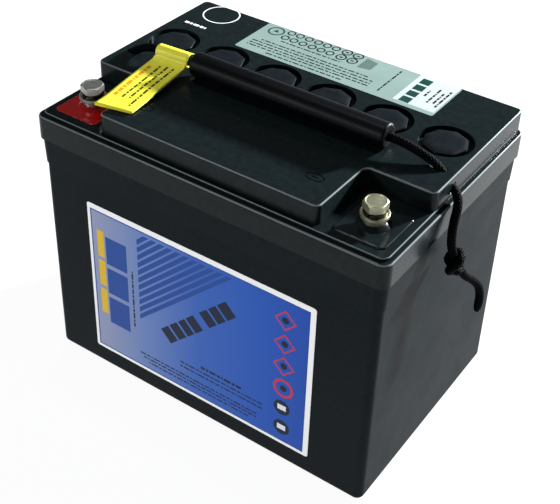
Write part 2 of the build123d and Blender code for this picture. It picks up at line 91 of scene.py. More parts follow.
# ------------------------------------------------------------------ materials
class Paint:
    """A procedural material: two close colours mottled together, uneven gloss and a fine bump."""

    def __init__(self, name, dark, light, rough=(0.4, 0.5), metallic=0.0, specular=0.5):
        self.material = bpy.data.materials.new(name)
        self.material.use_nodes = True
        self.tree = self.material.node_tree
        self.shader = self.tree.nodes["Principled BSDF"]
        self.shader.inputs["Metallic"].default_value = metallic
        self.shader.inputs["Specular IOR Level"].default_value = specular
        self.place = self.node("ShaderNodeTexCoord").outputs["Object"]
        self.dark = dark
        self.light = light
        self.rough = rough
        self.height = None

    def node(self, kind, **values):
        node = self.tree.nodes.new(kind)
        for key, value in values.items():
            setattr(node, key, value)
        return node

    def link(self, a, b):
        self.tree.links.new(a, b)

    def noise(self, scale, detail=3.0, roughness=0.55, stretch=None):
        node = self.node("ShaderNodeTexNoise")
        node.inputs["Scale"].default_value = scale
        node.inputs["Detail"].default_value = detail
        node.inputs["Roughness"].default_value = roughness
        place = self.place
        if stretch:
            mapping = self.node("ShaderNodeMapping")
            mapping.inputs["Scale"].default_value = stretch
            self.link(place, mapping.inputs["Vector"])
            place = mapping.outputs["Vector"]
        self.link(place, node.inputs["Vector"])
        return node.outputs["Fac"]

    def ramp(self, factor, stops):
        node = self.node("ShaderNodeValToRGB")
        elements = node.color_ramp.elements
        while len(elements) < len(stops):
            elements.new(0.5)
        for element, (position, colour) in zip(elements, stops):
            element.position = position
            element.color = colour
        self.link(factor, node.inputs["Fac"])
        return node.outputs["Color"]

    def spread(self, factor, low, high, start=0.2, end=0.8):
        node = self.node("ShaderNodeMapRange")
        node.inputs["From Min"].default_value = start
        node.inputs["From Max"].default_value = end
        node.inputs["To Min"].default_value = low
        node.inputs["To Max"].default_value = high
        self.link(factor, node.inputs["Value"])
        return node.outputs["Result"]

    def mottle(self, scale, stretch=None):
        colour = self.ramp(self.noise(scale, stretch=stretch), [(0.3, self.dark), (0.7, self.light)])
        self.link(colour, self.shader.inputs["Base Color"])
        return self

    def painted_edge_highlight(self, colour, amount):
        """A painted highlight: a paler line along the rounded edges between upright walls and level
        tops.
        """
        geometry = self.node("ShaderNodeNewGeometry")
        split = self.node("ShaderNodeSeparateXYZ")
        self.link(geometry.outputs["Normal"], split.inputs["Vector"])
        none = (0.0, 0.0, 0.0, 1.0)
        full = (amount, amount, amount, 1.0)
        band = self.ramp(split.outputs["Z"], [(0.3, none), (0.58, full), (0.82, full), (0.96, none)])
        mix = self.node("ShaderNodeMix", data_type="RGBA")
        base = self.shader.inputs["Base Color"].links[0].from_socket
        self.link(band, mix.inputs["Factor"])
        self.link(base, mix.inputs["A"])
        mix.inputs["B"].default_value = colour
        self.link(mix.outputs["Result"], self.shader.inputs["Base Color"])
        return self

    def gloss(self, scale, stretch=None):
        rough = self.spread(self.noise(scale, 4.0, stretch=stretch), *self.rough)
        self.link(rough, self.shader.inputs["Roughness"])
        return self

    def bump(self, scale, distance, strength=0.5, detail=2.0, stretch=None):
        node = self.node("ShaderNodeBump")
        node.inputs["Strength"].default_value = strength
        node.inputs["Distance"].default_value = distance
        self.link(self.noise(scale, detail, stretch=stretch), node.inputs["Height"])
        if self.height is not None:
            self.link(self.height, node.inputs["Normal"])
        self.height = node.outputs["Normal"]
        self.link(self.height, self.shader.inputs["Normal"])
        return self

    def coat(self, weight, roughness):
        self.shader.inputs["Coat Weight"].default_value = weight
        self.shader.inputs["Coat Roughness"].default_value = roughness
        return self

    def along(self, axis, low, high, stops):
        """The colour runs along X, Y or Z from low to high, in millimetres."""
        split = self.node("ShaderNodeSeparateXYZ")
        self.link(self.place, split.inputs["Vector"])
        factor = self.spread(split.outputs[axis], 0.0, 1.0, low * MM, high * MM)
        self.link(self.ramp(factor, stops), self.shader.inputs["Base Color"])
        return self


def ink(name, colour, rough=(0.28, 0.36)):
    """Printing ink: the colour with a slight unevenness, and the gloss of the film it lies on."""
    lighter = tuple(min(1.0, value * 1.12 + 0.004) for value in colour[:3]) + (1.0,)
    paint = Paint(name, colour, lighter, rough, specular=0.12)
    paint.mottle(700.0).gloss(300.0).bump(2500.0, 0.00002, 0.2)
    return paint.material


case_plastic = Paint("case_plastic", srgb(15, 22, 25), srgb(20, 28, 32), (0.4, 0.5), specular=0.04)
# The paler colour on the case's rounded edges is a painted highlight.
case_plastic.mottle(420.0).painted_edge_highlight(srgb(62, 70, 73), 0.6).gloss(60.0)
case_plastic.bump(1600.0, 0.00006, 0.35).bump(45.0, 0.0004, 0.12)
lid_plastic = Paint("lid_plastic", srgb(16, 23, 25), srgb(22, 31, 32), (0.17, 0.23), specular=0.11)
# The paler colour on the lid's rounded edges is a painted highlight, in place of the gloss lines
# along them.
lid_plastic.mottle(300.0).painted_edge_highlight(srgb(118, 126, 130), 0.9).gloss(45.0)
lid_plastic.bump(1400.0, 0.00004, 0.25).bump(30.0, 0.0004, 0.12)
cap_plastic = Paint("cap_plastic", srgb(14, 19, 23), srgb(21, 27, 31), (0.3, 0.4), specular=0.1)
cap_plastic.mottle(260.0).gloss(80.0).bump(1400.0, 0.00005, 0.3)
grip_plastic = Paint("grip_plastic", srgb(3, 5, 8), srgb(8, 11, 15), (0.38, 0.48), specular=0.1)
grip_plastic.mottle(60.0, (0.3, 1.0, 1.0)).gloss(50.0, (0.2, 1.0, 1.0))
grip_plastic.bump(900.0, 0.00005, 0.3, stretch=(0.25, 1.0, 1.0))
rope_fibre = Paint("rope_fibre", srgb(1, 2, 3), srgb(8, 12, 13), (0.5, 0.65), specular=0.03)
rope_fibre.mottle(900.0).gloss(500.0).bump(5200.0, 0.00006, 0.6)
tag_film = Paint("tag_film", srgb(244, 240, 66), srgb(250, 246, 84), (0.3, 0.4), specular=0.3)
tag_film.mottle(55.0).gloss(90.0).bump(60.0, 0.0004, 0.15).bump(2200.0, 0.00002, 0.2)
red_resin = Paint("red_resin", srgb(158, 3, 5), srgb(186, 8, 9), (0.14, 0.22), specular=0.4)
red_resin.mottle(130.0).gloss(70.0).bump(150.0, 0.0002, 0.25).coat(0.3, 0.05)
black_resin = Paint("black_resin", srgb(14, 22, 24), srgb(21, 30, 32), (0.16, 0.24), specular=0.2)
black_resin.mottle(130.0).gloss(70.0).bump(150.0, 0.0002, 0.25).coat(0.1, 0.05)
silver = Paint("silver_plating", srgb(158, 159, 152), srgb(188, 188, 181), (0.36, 0.46), 1.0)
silver.mottle(260.0).gloss(300.0).bump(1500.0, 0.00001, 0.25)
golden = Paint("golden_plating", srgb(170, 170, 142), srgb(200, 200, 170), (0.36, 0.46), 1.0)
golden.mottle(260.0).gloss(300.0).bump(1500.0, 0.00001, 0.25)
dark_steel = Paint("spring_steel", srgb(52, 50, 44), srgb(78, 75, 66), (0.24, 0.34), 1.0)
dark_steel.mottle(260.0).gloss(300.0).bump(1500.0, 0.00001, 0.25)
lead = Paint("grey_lead", srgb(104, 107, 110), srgb(138, 141, 143), (0.5, 0.62), 0.6)
lead.mottle(300.0).gloss(200.0).bump(700.0, 0.0001, 0.4)
oxide = Paint("lead_oxide", srgb(64, 44, 36), srgb(88, 62, 49), (0.7, 0.85))
oxide.mottle(500.0).gloss(200.0).bump(1200.0, 0.0001, 0.5)
glass_mat = Paint("glass_mat", srgb(222, 222, 216), srgb(240, 240, 236), (0.8, 0.9))
glass_mat.mottle(900.0).gloss(400.0).bump(2600.0, 0.0001, 0.6)
rubber = Paint("valve_rubber", srgb(22, 22, 22), srgb(32, 32, 32), (0.6, 0.72), specular=0.3)
rubber.mottle(300.0).gloss(200.0).bump(1500.0, 0.00005, 0.4)
front_film = Paint("front_film", srgb(250, 251, 253), srgb(255, 255, 255), (0.3, 0.4), specular=0.25)
front_film.mottle(60.0).gloss(60.0).bump(40.0, 0.0003, 0.12).bump(1800.0, 0.00002, 0.2)
lid_film = Paint("lid_film", srgb(119, 141, 136), srgb(127, 150, 145), (0.34, 0.44), specular=0.2)
lid_film.mottle(50.0).gloss(60.0).bump(40.0, 0.0003, 0.12).bump(1800.0, 0.00002, 0.2)

MATERIALS = {
    "case": case_plastic, "lid": lid_plastic, "vent_cap": cap_plastic, "grip": grip_plastic,
    "positive_seal": red_resin, "negative_seal": black_resin, "post_o_rings": rubber,
    "relief_valves": rubber, "positive_plates": oxide, "negative_plates": lead,
    "separators": glass_mat, "cell_connector": lead, "positive_post": silver,
    "negative_post": golden, "positive_bolt": silver, "negative_bolt": golden,
    "positive_flat_washer": silver, "positive_spring_washer": dark_steel,
    "negative_flat_washer": golden, "negative_spring_washer": dark_steel,
    "front_label": front_film, "lid_label": lid_film,
}
for node_name, node in NODES.items():
    key = node_name.rstrip("0123456789").rstrip("_")
    if key in MATERIALS:
        for material_slot in node.material_slots:
            material_slot.material = MATERIALS[key].material


# ------------------------------------------------------------------ mesh helpers
def add_piece(name, mesh_builder, materials, body=None, smooth=False):
    mesh = bpy.data.meshes.new(name)
    mesh_builder.to_mesh(mesh)
    mesh_builder.free()
    for material in materials:
        mesh.materials.append(material)
    for polygon in mesh.polygons:
        polygon.use_smooth = smooth
    piece = bpy.data.objects.new(name, mesh)
    bpy.context.scene.collection.objects.link(piece)
    if body:
        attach(piece, body)
    return piece


def line_length(line):
    return sum((b - a).length for a, b in zip(line, line[1:]))


def nurbs_line(points, step):
    """Points in metres along the NURBS spline that has these control points, about a step apart."""
    curve = bpy.data.curves.new("route", "CURVE")
    curve.dimensions = "3D"
    spline = curve.splines.new("NURBS")
    spline.points.add(len(points) - 1)
    for point, place in zip(spline.points, points):
        point.co = (place[0], place[1], place[2], 1.0)
    spline.order_u = 3
    spline.use_endpoint_u = True
    curve.resolution_u = math.ceil(line_length(points) / step / (len(points) - 2))
    spline.resolution_u = curve.resolution_u
    route = bpy.data.objects.new("route", curve)
    mesh = bpy.data.meshes.new_from_object(route)
    line = [vertex.co.copy() for vertex in mesh.vertices]
    bpy.data.meshes.remove(mesh)
    bpy.data.objects.remove(route)
    bpy.data.curves.remove(curve)
    return line


def distances(line, start):
    """How far along the rope each point of the line is, in metres."""
    return list(accumulate(((b - a).length for a, b in zip(line, line[1:])), initial=start))


def carried_frames(line):
    """A tangent and two cross directions at each point, carried along without twist."""
    frames = []
    side = None
    for index, point in enumerate(line):
        before = line[max(0, index - 1)]
        after = line[min(len(line) - 1, index + 1)]
        tangent = (after - before).normalized()
        if side is None:
            side = tangent.orthogonal().normalized()
        side = (side - tangent * side.dot(tangent)).normalized()
        frames.append((point, tangent, side, tangent.cross(side)))
    return frames


# ------------------------------------------------------------------ braided rope
STRANDS_EACH_WAY = 8
BRAID_PITCH = 14.5 * MM
BRAID_RADIUS = 1.66 * MM
BRAID_WAVE = 0.17 * MM  # how far a strand moves out and in as it crosses over and under
STRAND_HALF_WIDTH = 0.56 * MM
STRAND_HALF_THICKNESS = 0.32 * MM
STRAND_CORNERS = 6
CORE_RADIUS = 1.55 * MM
CORE_CORNERS = 10
RING_STEP = 0.45 * MM
TAPER_LENGTH = 6.0 * MM
TIP_SHARE = 0.35


def skin(builder, rings):
    """Closes a tube over rings of points, with one face at each end."""
    loops = [[builder.verts.new(place) for place in ring] for ring in rings]
    count = len(loops[0])
    for a, b in zip(loops, loops[1:]):
        for i in range(count):
            j = (i + 1) % count
            builder.faces.new((a[i], a[j], b[j], b[i]))
    builder.faces.new(list(reversed(loops[0])))
    builder.faces.new(loops[-1])


def strand_rings(frames, reached, scale, first_angle, way):
    """One strand's rings, wound one way round the rope and waving out and in."""
    turn_rate = 2 * math.pi / BRAID_PITCH
    centres = []
    outward = []
    for (point, tangent, side, cross), along, size in zip(frames, reached, scale):
        angle = first_angle + way * turn_rate * along
        radial = math.cos(angle) * side + math.sin(angle) * cross
        wave = BRAID_WAVE * way * math.cos(STRANDS_EACH_WAY * turn_rate * along)
        centres.append(point + radial * (BRAID_RADIUS + wave) * size)
        outward.append(radial)
    corner_angles = [2 * math.pi * corner / STRAND_CORNERS for corner in range(STRAND_CORNERS)]
    rings = []
    for index, (centre, radial, size) in enumerate(zip(centres, outward, scale)):
        before = centres[max(0, index - 1)]
        after = centres[min(len(centres) - 1, index + 1)]
        across = (after - before).cross(radial).normalized()
        rings.append([
            centre
            + across * math.cos(angle) * STRAND_HALF_WIDTH * size
            + radial * math.sin(angle) * STRAND_HALF_THICKNESS * size
            for angle in corner_angles
        ])
    return rings


def core_rings(frames, scale):
    """The round core that shows dark between the strands."""
    corner_angles = [2 * math.pi * corner / CORE_CORNERS for corner in range(CORE_CORNERS)]
    return [
        [point + (side * math.cos(angle) + cross * math.sin(angle)) * CORE_RADIUS * size
         for angle in corner_angles]
        for (point, tangent, side, cross), size in zip(frames, scale)
    ]


def braid(builder, line, run, taper=None):
    """Two sets of strands that wind opposite ways and cross over and under each other."""
    frames = carried_frames(line)
    reached = distances(line, run)
    scale = [taper(reached[-1] - along) if taper else 1.0 for along in reached]
    for way in (1, -1):
        for strand in range(STRANDS_EACH_WAY):
            first_angle = 2 * math.pi * strand / STRANDS_EACH_WAY
            skin(builder, strand_rings(frames, reached, scale, first_angle, way))
    skin(builder, core_rings(frames, scale))


ROPE_AXIS = mm(0, -5.0, 162.6)
SPAN_RIGHT = [
    mm(61, -5, 162.6), mm(66, -5, 162.6), mm(74.5, -4.5, 161.0), mm(82.5, -4.4, 158.6),
    mm(87.8, -4.5, 155.8), mm(91.2, -4.8, 151.9), mm(95.4, -6.2, 149.7),
]
SPAN_LEFT = [
    mm(-68.5, -5, 162.6), mm(-73.6, -5, 162.6), mm(-78.6, -5.2, 161.3), mm(-83.4, -4.9, 158.9),
    mm(-87.8, -4.5, 155.8), mm(-91.2, -4.8, 151.9), mm(-95.4, -6.2, 149.7),
]
DROP_RIGHT = [
    mm(95.4, -6.2, 149.7), mm(98.2, -7.133, 148.233), mm(100.6, -10.6, 144.8),
    mm(101.0, -14.1, 138.2), mm(101.9, -15.9, 130.4), mm(102.8, -15.4, 124.6),
    mm(103.8, -13.8, 119.6),
]
DROP_LEFT = [
    mm(-95.4, -6.2, 149.7), mm(-98.2, -7.133, 148.233), mm(-100.5, -9.9, 144.4),
    mm(-100.8, -11.4, 137.6), mm(-101.6, -11.0, 130.0), mm(-102.6, -9.8, 124.4),
    mm(-103.4, -9.6, 118.8),
]
TAIL_RIGHT = [
    mm(105.2, -10.6, 113.8), mm(106.8, -7.6, 107.8), mm(108.6, -2.6, 103.4),
    mm(110.6, 1.8, 98.6), mm(111.6, 4.0, 92.6), mm(112.0, 3.9, 87.0), mm(111.7, 3.0, 81.4),
]
TAIL_LEFT = [
    mm(-104.2, -9.9, 112.9), mm(-105.4, -11.0, 107.8), mm(-107.6, -14.2, 103.6),
    mm(-109.4, -18.4, 99.2), mm(-110.2, -21.6, 93.6), mm(-109.8, -22.6, 88.0),
    mm(-108.9, -22.2, 82.6),
]
KNOT_RIGHT = mm(104.1, -13.2, 117.6)
KNOT_LEFT = mm(-103.6, -9.6, 117.4)
KNOT_UNIT = 4.7 * MM
KNOT_FACING = Vector((0.45, -0.69, 0.57))
# the turns of an overhand knot round its own middle, in units of KNOT_UNIT
KNOT_TURNS = [
    (-0.15, -0.05, 0.3), (-0.45, -0.1, -0.55), (0.1, -0.15, -1.05), (0.75, 0.1, -0.7),
    (0.95, 0.45, -0.1), (0.3, 0.95, 0.55), (-0.55, 0.65, 0.75), (-0.95, -0.2, 0.55),
    (-0.4, -0.9, 0.35), (0.45, -0.75, 0.1), (0.4, -0.2, -0.3), (0.3, 0.75, -0.85),
]


def knot_line(drop, tail, middle):
    """The rope's way through the knot, from the end of the drop to the start of the tail."""
    above = (drop[-2] - drop[-1]).normalized() + (tail[0] - tail[1]).normalized()
    above.normalize()
    outward = (KNOT_FACING - above * KNOT_FACING.dot(above)).normalized()
    across = outward.cross(above)
    route = [drop[-1]]
    for x, y, z in KNOT_TURNS:
        route.append(middle + (across * x + outward * y + above * z) * KNOT_UNIT)
    route.append(tail[0])
    return route


def rope_piece(name, line, run, taper=None):
    """A stretch of rope, braided in step with the stretch before it, and the rope's run so far."""
    builder = bmesh.new()
    braid(builder, line, run, taper)
    piece = add_piece(name, builder, [rope_fibre.material], smooth=True)
    return piece, run + line_length(line)


def tail_taper(left):
    """The last few millimetres are melted down to a blunt point; left is the way to the end."""
    if left >= TAPER_LENGTH:
        return 1.0
    return TIP_SHARE + (1 - TIP_SHARE) * math.sqrt(1 - (1 - left / TAPER_LENGTH) ** 2)


def build_side(side, span, drop, tail, middle, knot_body):
    """One side of the rope: over the lid, out through the wall, the knot and the tail."""
    run = 0.0
    span_line = nurbs_line(span, RING_STEP)
    drop_line = nurbs_line(drop, RING_STEP)
    tail_line = nurbs_line(tail, RING_STEP)
    turns = nurbs_line(knot_line(drop, tail, middle), RING_STEP)
    span_piece, run = rope_piece("rope_strands_span_" + side, span_line, run)
    drop_piece, run = rope_piece("rope_strands_drop_" + side, drop_line, run)
    knot_piece, run = rope_piece("rope_strands_knot_" + side, turns, run)
    tail_piece, run = rope_piece("rope_strands_tail_" + side, tail_line, run, tail_taper)
    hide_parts("rope_span_" + side)
    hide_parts("rope_drop_" + side)
    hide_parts("rope_knot_" + side)
    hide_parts("rope_tail_" + side)
    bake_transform(span_piece)
    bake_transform(drop_piece)
    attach(knot_piece, knot_body)
    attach(tail_piece, knot_body)
    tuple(span[-1])
    line_length(span_line)
    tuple(drop[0])
    line_length(drop_line)
    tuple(tail[0])
    line_length(tail_line)


build_side(
    "right", SPAN_RIGHT, DROP_RIGHT, TAIL_RIGHT, KNOT_RIGHT,
    "right_knot")
build_side(
    "left", SPAN_LEFT, DROP_LEFT, TAIL_LEFT, KNOT_LEFT,
    "left_knot")

core_low, core_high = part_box("rope_core")
core_ends = [
    Vector((core_high.x, ROPE_AXIS.y, ROPE_AXIS.z)),
    Vector(((core_high.x + core_low.x) / 2, ROPE_AXIS.y, ROPE_AXIS.z)),
    Vector((core_low.x, ROPE_AXIS.y, ROPE_AXIS.z)),
]
core_line = nurbs_line(core_ends, RING_STEP)
core_piece, _ = rope_piece("rope_strands_core", core_line, 0.0)
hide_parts("rope_core")
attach(core_piece, "handle")
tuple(core_ends[0])
line_length(core_line)


# ------------------------------------------------------------------ hex bolts
HEX_FLATS = 10.0
HEX_HEIGHT = 4.2
HEX_CROWN_RADIUS = 4.85
HEX_CHAMFER_SLOPE = 0.55
HEX_DISH_DEPTH = 0.1
WASHER_FACE_RADIUS = 4.75
WASHER_FACE_HEIGHT = 0.55
UNDER_CHAMFER_RADIUS = 4.9
UNDER_CHAMFER_SLOPE = 0.4
SHANK_RADIUS = 2.98
SHANK_TIP_RADIUS = 2.28
PLAIN_SHANK = 1.6
THREAD_PITCH = 1.0
THREAD_DEPTH = 0.32
THREAD_START = 0.6
HEX_SECTORS = 72
HEX_SHARP_ANGLE = math.radians(16)


def box_middle(low, high):
    """The middle of a node's box in plan, in millimetres."""
    return (low.x + high.x) / 2 / MM, (low.y + high.y) / 2 / MM


def turned_ring(middle_x, middle_y, sectors, radius, height):
    """A ring of points; radius may depend on the angle, and height on the radius there."""
    places = []
    for index in range(sectors):
        angle = 2 * math.pi * index / sectors
        reach = radius(angle) if callable(radius) else radius
        z = height(reach) if callable(height) else height
        places.append(mm(middle_x + reach * math.cos(angle), middle_y + reach * math.sin(angle), z))
    return places


def turned_piece(name, rings, material, body, sharp_angle):
    builder = bmesh.new()
    skin(builder, rings)
    bmesh.ops.recalc_face_normals(builder, faces=builder.faces)
    piece = add_piece(name, builder, [material], body, smooth=True)
    piece.data.set_sharp_from_angle(angle=sharp_angle)
    return piece


def hex_bolt(node_name, corner_degrees, material, body):
    """A hex screw with a chamfered, slightly dished head, a washer face and a ridged shank."""
    low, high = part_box(node_name)
    middle_x, middle_y = box_middle(low, high)
    bottom, top = low.z / MM, high.z / MM
    under = top - HEX_HEIGHT
    washer_face = under + WASHER_FACE_HEIGHT

    def ring(radius, height):
        return turned_ring(middle_x, middle_y, HEX_SECTORS, radius, height)

    def hexagon(angle):
        from_flat = (math.degrees(angle) - corner_degrees) % 60 - 30
        return HEX_FLATS / 2 / math.cos(math.radians(from_flat))

    def chamfer(reach):
        return top - max(0.0, reach - HEX_CROWN_RADIUS) * HEX_CHAMFER_SLOPE

    def under_chamfer(reach):
        return washer_face + max(0.0, reach - UNDER_CHAMFER_RADIUS) * UNDER_CHAMFER_SLOPE

    rings = [ring(SHANK_TIP_RADIUS, bottom)]
    height = bottom + THREAD_START
    while height < under - 2 * THREAD_PITCH:
        rings += [
            ring(SHANK_RADIUS - THREAD_DEPTH, height),
            ring(SHANK_RADIUS, height + THREAD_PITCH / 2),
        ]
        height += THREAD_PITCH
    rings += [
        ring(SHANK_RADIUS, under - PLAIN_SHANK), ring(SHANK_RADIUS, under),
        ring(WASHER_FACE_RADIUS, under), ring(WASHER_FACE_RADIUS, washer_face),
        ring(hexagon, under_chamfer), ring(hexagon, chamfer),
        ring(HEX_CROWN_RADIUS, top), ring(HEX_CROWN_RADIUS - 0.4, top),
        ring(HEX_CROWN_RADIUS - 0.6, top - HEX_DISH_DEPTH),
    ]
    piece = turned_piece(node_name + "_hex", rings, material, body, HEX_SHARP_ANGLE)
    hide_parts(node_name)


hex_bolt("positive_bolt", -18.0, silver.material, "positive_bolt")
hex_bolt("negative_bolt", -26.0, golden.material, "negative_bolt")


# ------------------------------------------------------------------ vent covers
VENT_CORNER_RADIUS = 11.0
VENT_CORNER_SHARE = 0.985  # the corners are rounded off at this share of their radius
VENT_SIDES = 8
VENT_SECTORS = 96
VENT_EDGE = 0.2
VENT_SEAT = 152.75
VENT_SHARP_ANGLE = math.radians(18)
SPIGOT_RADIUS = 7.9


def vent_cover(node_name):
    """An eight-sided cover with a turned-down rim and a dished top, on a round spigot."""
    low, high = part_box(node_name)
    middle_x, middle_y = box_middle(low, high)
    top = high.z / MM
    half_side = 180 / VENT_SIDES

    def round_ring(radius, z):
        return turned_ring(middle_x, middle_y, VENT_SECTORS, radius, z)

    def ring(radius, z):
        flat = radius * math.cos(math.radians(half_side))

        def outline(angle):
            from_flat = math.degrees(angle) % (2 * half_side) - half_side
            return min(flat / math.cos(math.radians(from_flat)), radius * VENT_CORNER_SHARE)

        return round_ring(outline, z)

    radius = VENT_CORNER_RADIUS
    rings = [
        round_ring(SPIGOT_RADIUS, low.z / MM), round_ring(SPIGOT_RADIUS, VENT_SEAT),
        ring(radius - VENT_EDGE, VENT_SEAT), ring(radius, VENT_SEAT + VENT_EDGE),
        ring(radius, top - 0.75), ring(radius - 0.2, top - 0.4),
        ring(radius - 1.5, top - 0.08), ring(radius - 1.8, top),
        ring(radius - 5.0, top - 0.05), ring(1.0, top - 0.1),
    ]
    piece = turned_piece(
        node_name + "_disc", rings, cap_plastic.material, "battery", VENT_SHARP_ANGLE)
    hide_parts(node_name)


for cell in range(6):
    vent_cover(f"vent_cap_{cell + 1}")


# ------------------------------------------------------------------ yellow tag
TAG_LEFT = -69.5
TAG_WIDTH = 19.0
TAG_SHIFT = 2.9  # how far the free end lies to the right of the rope's end
TAG_THICKNESS = 0.22
LOOP_Y = -5.0
LOOP_Z = 162.9
LOOP_RADIUS = 3.35
LOOP_SKEW = 1.2
LOOP_START = -122.0
LOOP_END = 196.0
FLAP_Y = -10.8
END_LEFT_Y = -56.8
END_RIGHT_Y = -52.5
UPPER_START_Z = 160.55
UPPER_END_Z = 157.15
LOWER_START_Z = 160.05
LOWER_END_Z = 156.62
WAVE_HEIGHT = 0.16
UPPER_ARCH = 0.25
CURL_FROM = 0.82
CURL_SLOPE = 2.25
ACROSS = 16
FLAP_STEPS = 24
LOOP_STEPS = 24


def flap_y(u):
    """Where the flap starts at the rope and where it ends, u of the way across."""
    start = FLAP_Y + LOOP_SKEW * (u - 0.5)
    return start, END_LEFT_Y + (END_RIGHT_Y - END_LEFT_Y) * u


def tag_place(flap, u, upper):
    """A point of a flap: 0 at the rope to 1 at the free end, and 0 to 1 across."""
    start_y, end_y = flap_y(u)
    y = start_y + (end_y - start_y) * flap
    x = TAG_LEFT + TAG_WIDTH * u + TAG_SHIFT * flap
    start_z, end_z = (UPPER_START_Z, UPPER_END_Z) if upper else (LOWER_START_Z, LOWER_END_Z)
    z = end_z + (start_z - end_z) * (1 - flap) ** 1.25
    z += WAVE_HEIGHT * math.sin(math.pi * flap) * math.sin(7.0 * u + 5.0 * flap)
    if upper:
        z += UPPER_ARCH * math.sin(math.pi * flap) ** 2
        z += CURL_SLOPE * max(0.0, flap - CURL_FROM) * (1 - u)
    return mm(x, y, z)


def loop_place(degrees, u):
    """A point of the loop round the rope."""
    angle = math.radians(degrees)
    y = LOOP_Y + LOOP_RADIUS * math.cos(angle) + LOOP_SKEW * (u - 0.5)
    z = LOOP_Z + LOOP_RADIUS * math.sin(angle)
    return mm(TAG_LEFT + TAG_WIDTH * u, y, z)


def tag_normal(rows, row, column):
    before = rows[max(0, row - 1)][column]
    after = rows[min(len(rows) - 1, row + 1)][column]
    left = rows[row][max(0, column - 1)]
    far = rows[row][min(ACROSS, column + 1)]
    return (far - left).cross(after - before).normalized()


def tag_lines():
    """The sheet's middle surface: up the lower flap, round the loop and down the upper flap."""
    shares = [i / ACROSS for i in range(ACROSS + 1)]
    lines = [
        [tag_place(1 - step / FLAP_STEPS, u, False) for u in shares]
        for step in range(FLAP_STEPS + 1)
    ]
    for step in range(1, LOOP_STEPS + 1):
        degrees = LOOP_START + (LOOP_END - LOOP_START) * step / LOOP_STEPS
        lines.append([loop_place(degrees, u) for u in shares])
    for step in range(FLAP_STEPS + 1):
        lines.append([tag_place(step / FLAP_STEPS, u, True) for u in shares])
    return lines


def make_tag():
    """The folded sheet, as thick as it is: two faces and the edges between them."""
    lines = tag_lines()
    builder = bmesh.new()
    faces = []
    for way in (0.5, -0.5):
        faces.append([
            [
                builder.verts.new(place + tag_normal(lines, row, column) * way * TAG_THICKNESS * MM)
                for column, place in enumerate(places)
            ]
            for row, places in enumerate(lines)
        ])
    front, back = faces

    def edge(a, b):
        (row_a, column_a), (row_b, column_b) = a, b
        builder.faces.new((
            front[row_a][column_a], back[row_a][column_a],
            back[row_b][column_b], front[row_b][column_b]))

    last = len(lines) - 1
    for row in range(last):
        for column in range(ACROSS):
            for grid in (front, back):
                quad = (
                    grid[row][column], grid[row][column + 1],
                    grid[row + 1][column + 1], grid[row + 1][column])
                builder.faces.new(quad if grid is front else quad[::-1])
        edge((row + 1, 0), (row, 0))
        edge((row, ACROSS), (row + 1, ACROSS))
    for column in range(ACROSS):
        edge((0, column), (0, column + 1))
        edge((last, column + 1), (last, column))
    bmesh.ops.recalc_face_normals(builder, faces=builder.faces)
    piece = add_piece("folded_tag", builder, [tag_film.material], "tag", smooth=True)
    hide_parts("tag")


make_tag()


# ------------------------------------------------------------------ printing
INK_THICKNESS = 0.03
LAYER = INK_THICKNESS  # a second ink lies on the first
DASH_GAP = 0.75
SMALL_PRINT = (2.6, 1.4, 3.6, 2.0, 0.9, 4.2, 1.7, 3.0)


def prism(builder, outline, place, material_index=0, base=0.0):
    """A thin closed prism on a surface: outline in the surface's own two directions."""
    area = sum(a[0] * b[1] - b[0] * a[1] for a, b in zip(outline, outline[1:] + outline[:1]))
    if area < 0:
        outline = outline[::-1]
    low = [builder.verts.new(place(u, v, base)) for u, v in outline]
    high = [builder.verts.new(place(u, v, base + INK_THICKNESS)) for u, v in outline]
    faces = [builder.faces.new(high), builder.faces.new(low[::-1])]
    count = len(outline)
    for i in range(count):
        j = (i + 1) % count
        faces.append(builder.faces.new((low[i], low[j], high[j], high[i])))
    for face in faces:
        face.material_index = material_index


def hoop(builder, outer, inner, place, material_index=0, base=0.0):
    """The same for a band between two outlines that have as many corners."""
    levels = (base, base + INK_THICKNESS)
    loops = [
        [[builder.verts.new(place(u, v, w)) for u, v in line] for w in levels]
        for line in (outer, inner)
    ]
    (outer_low, outer_high), (inner_low, inner_high) = loops
    count = len(outer)
    for i in range(count):
        j = (i + 1) % count
        for quad in (
            (outer_high[i], outer_high[j], inner_high[j], inner_high[i]),
            (inner_low[i], inner_low[j], outer_low[j], outer_low[i]),
            (outer_low[i], outer_low[j], outer_high[j], outer_high[i]),
            (inner_high[i], inner_high[j], inner_low[j], inner_low[i]),
        ):
            builder.faces.new(quad).material_index = material_index


def rectangle(u0, v0, u1, v1):
    return [(u0, v0), (u1, v0), (u1, v1), (u0, v1)]


def regular(u, v, radius, corners=28, angle=0.0):
    return [
        (u + radius * math.cos(angle + 2 * math.pi * i / corners),
         v + radius * math.sin(angle + 2 * math.pi * i / corners))
        for i in range(corners)
    ]


def dashes(start, end, shift):
    """Uneven dashes like small print, which begin at another length for each shift."""
    place = start
    index = shift
    while place < end - 0.6:
        stop = min(place + SMALL_PRINT[index % len(SMALL_PRINT)], end)
        yield place, stop
        place = stop + DASH_GAP
        index += 1


def print_row(builder, u0, u1, v, height, place, material_index, base=0.0, shift=0):
    for a, b in dashes(u0, u1, shift):
        prism(builder, rectangle(a, v - height / 2, b, v + height / 2), place, material_index, base)


def print_column(builder, v0, v1, u, width, place, material_index, base=0.0, shift=0):
    for a, b in dashes(v0, v1, shift):
        prism(builder, rectangle(u - width / 2, a, u + width / 2, b), place, material_index, base)


def finish_print(builder, name, materials, body):
    bmesh.ops.recalc_face_normals(builder, faces=builder.faces)
    add_piece(name, builder, materials, body)


